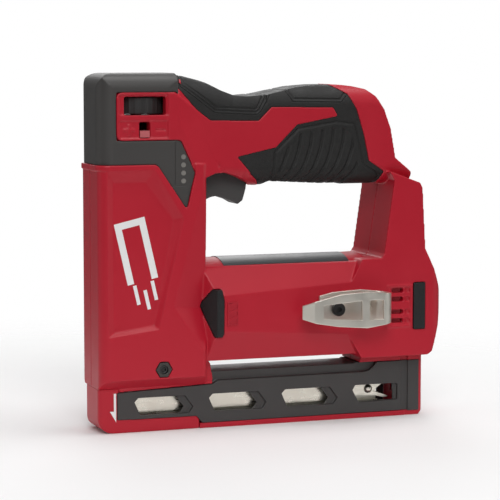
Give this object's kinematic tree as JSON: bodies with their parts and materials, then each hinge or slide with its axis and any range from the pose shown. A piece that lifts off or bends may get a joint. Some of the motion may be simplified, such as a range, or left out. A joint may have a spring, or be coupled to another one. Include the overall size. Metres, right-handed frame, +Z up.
{
  "type": "cordless staple gun",
  "caption": "Cordless crown staple gun: red pistol-style body around a finger gap, trigger, depth wheel, belt hook, slide-out staple magazine and an open battery bay.",
  "frame": {"origin": "centre of the staple outlet, on the flat underside of the nose", "axes": "+X from the nose to the tail, +Y to the tool's right-hand side, +Z up"},
  "size_m": [0.2053, 0.0618, 0.1995],
  "materials": {
    "housing": "fine-grained moulded red plastic",
    "head_cover": "fine-grained moulded dark grey plastic",
    "soft_grip": "textured soft overmould",
    "gauge": "smooth dark grey plastic",
    "lights": "translucent grey light windows, unlit",
    "bumper": "black rubber",
    "hook_steel": "plated pressed steel",
    "dark_screw": "black oxide steel",
    "brass_insert": "turned brass",
    "nut_steel": "dark plated steel",
    "label": "dark satin foil",
    "badge": "printed badge in a raised frame",
    "print_white": "white print",
    "magazine_black": "black powder-coated metal",
    "rail_steel": "plated sheet steel",
    "cast_block": "die-cast, as cast",
    "rod_steel": "ground hardened steel",
    "motor_steel": "plain drawn steel",
    "magnet": "dark sintered ferrite",
    "inner_plastic": "black moulded plastic",
    "board": "green lacquered board",
    "trigger_black": "black moulded plastic",
    "spring_steel": "coiled spring wire",
    "wheel_black": "ribbed black plastic",
    "indicator": "pale red plastic"
  },
  "bodies": {
    "tool": {"left_housing": "housing", "right_housing": "housing", "head_cover": "head_cover", "grip_saddle": "soft_grip", "crest_pad": "soft_grip", "left_grip": "soft_grip", "right_grip": "soft_grip", "gauge_panel": "gauge", "gauge_lights": "lights", "nose_guard": "housing", "front_bumpers": "bumper", "rear_bumpers": "bumper", "belt_hook": "hook_steel", "belt_hook_screw": "dark_screw", "hook_inserts": "brass_insert", "housing_screws": "dark_screw", "nose_bolt": "dark_screw", "nose_nut": "nut_steel", "barrel_label": "label", "side_badges": "badge", "side_marks": "print_white", "magazine_frame": "magazine_black", "staple_channel": "rail_steel", "nose_plate": "rail_steel", "lower_block": "cast_block", "upper_plate": "cast_block", "guide_rods": "rod_steel", "bumper_sleeves": "cast_block", "striker_bumpers": "bumper", "gearbox_case": "cast_block", "shaft_bearing": "brass_insert", "motor_can": "motor_steel", "motor_magnets": "magnet", "motor_end_cap": "inner_plastic", "control_board": "board", "trigger_switch": "inner_plastic", "trigger_pin": "rod_steel", "terminal_block": "inner_plastic", "battery_terminals": "brass_insert", "trigger_spring": "spring_steel", "main_spring": "spring_steel"},
    "trigger": {"trigger": "trigger_black"},
    "plunger": {"switch_plunger": "inner_plastic"},
    "depth_wheel": {"depth_wheel": "wheel_black"},
    "depth_carriage": {"depth_carriage": "indicator"},
    "striker": {"striker_carrier": "cast_block", "driver_blade": "rod_steel"},
    "lifter": {"lifter_shaft": "rod_steel", "lifter_pinion": "rod_steel", "planet_gears": "brass_insert"},
    "rotor": {"motor_rotor": "motor_steel", "commutator": "brass_insert"},
    "drawer": {"magazine_drawer": "housing", "drawer_inlays": "magazine_black", "drawer_rail": "rail_steel", "pusher_spring": "spring_steel", "latch_spring": "spring_steel"},
    "pusher": {"staple_pusher": "rail_steel"},
    "latch": {"magazine_latch": "trigger_black"}
  },
  "joints": [
    {"name": "striker_lift", "type": "slide", "parent": "tool", "child": "striker", "axis": [0, 0, 1], "range_m": [0, 0.02], "stiffness_N_per_m": 1500, "springref_m": -0.02, "deforming": ["main_spring"]},
    {"name": "lifter_turn", "type": "hinge", "parent": "tool", "child": "lifter", "pos_m": [0.01, 0, 0.0665], "axis": [1, 0, 0], "range_deg": [0, 127.4]},
    {"name": "rotor_turn", "type": "hinge", "parent": "tool", "child": "rotor", "pos_m": [0.09, 0, 0.0665], "axis": [1, 0, 0], "range_deg": [0, 673.2]},
    {"name": "trigger_pull", "type": "hinge", "parent": "tool", "child": "trigger", "pos_m": [0.0575, 0, 0.146], "axis": [0, -1, 0], "range_deg": [0, 8], "stiffness_Nm_per_rad": 1.2, "springref_deg": -4.58},
    {"name": "plunger_press", "type": "slide", "parent": "tool", "child": "plunger", "axis": [0, 0, 1], "range_m": [0, 0.00209], "deforming": ["trigger_spring"]},
    {"name": "depth_turn", "type": "hinge", "parent": "tool", "child": "depth_wheel", "pos_m": [0.0164, 0, 0.18], "axis": [0, 0, 1], "range_deg": [0, 792]},
    {"name": "depth_slide", "type": "slide", "parent": "tool", "child": "depth_carriage", "axis": [0, 0, 1], "range_m": [0, 0.00441]},
    {"name": "drawer_slide", "type": "slide", "parent": "tool", "child": "drawer", "axis": [1, 0, 0], "range_m": [0, 0.095]},
    {"name": "pusher_slide", "type": "slide", "parent": "drawer", "child": "pusher", "axis": [1, 0, 0], "range_m": [0, 0.085], "stiffness_N_per_m": 40, "springref_m": -0.05, "deforming": ["pusher_spring"]},
    {"name": "latch_press", "type": "slide", "parent": "drawer", "child": "latch", "axis": [-1, 0, 0], "range_m": [0, 0.002], "stiffness_N_per_m": 400, "springref_m": -0.002, "deforming": ["latch_spring"]}
  ],
  "couplings": [
    {"joint": "lifter_turn", "follows": "striker_lift", "rad_per_m": 111.11},
    {"joint": "rotor_turn", "follows": "striker_lift", "rad_per_m": 587.3},
    {"joint": "plunger_press", "follows": "trigger_pull", "m_per_rad": 0.0148},
    {"joint": "depth_slide", "follows": "depth_turn", "m_per_rad": 0.00031831}
  ]
}
